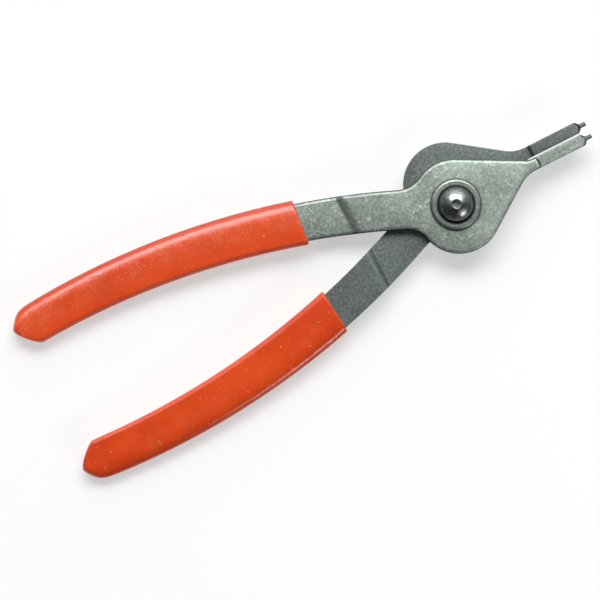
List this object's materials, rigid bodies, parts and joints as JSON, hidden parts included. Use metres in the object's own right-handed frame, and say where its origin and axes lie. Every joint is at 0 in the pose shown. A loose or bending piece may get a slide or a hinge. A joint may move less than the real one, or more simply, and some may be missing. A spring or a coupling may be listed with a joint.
{
  "type": "circlip pliers",
  "caption": "Riveted scissor-action pliers for internal retaining rings: lapped stamped levers, round tip pins at the jaws and dipped vinyl grips.",
  "frame": {"origin": "on the pivot axis, at the flat of the rivet's rear head, which the tool lies on", "axes": "+X from the pivot to the tips, +Y to the front lever's handle, +Z along the rivet to its domed head"},
  "size_m": [0.1697, 0.0554, 0.0134],
  "materials": {
    "plate_steel": "dull grey phosphate over stamped steel",
    "rivet_steel": "smooth, worn bright on the dome",
    "washer_steel": "dull stamped steel",
    "dipped_vinyl": "glossy dipped coat"
  },
  "bodies": {
    "rear_half": {"rear_lever": "plate_steel", "rear_grip": "dipped_vinyl", "pivot_rivet": "rivet_steel", "front_washer": "washer_steel", "rear_washer": "washer_steel"},
    "front_half": {"front_lever": "plate_steel", "front_grip": "dipped_vinyl"}
  },
  "joints": [
    {"name": "pivot", "type": "hinge", "parent": "rear_half", "child": "front_half", "pos_m": [0, 0, 0.00553], "axis": [0, 0, -1], "range_deg": [-0.6, 60]}
  ]
}
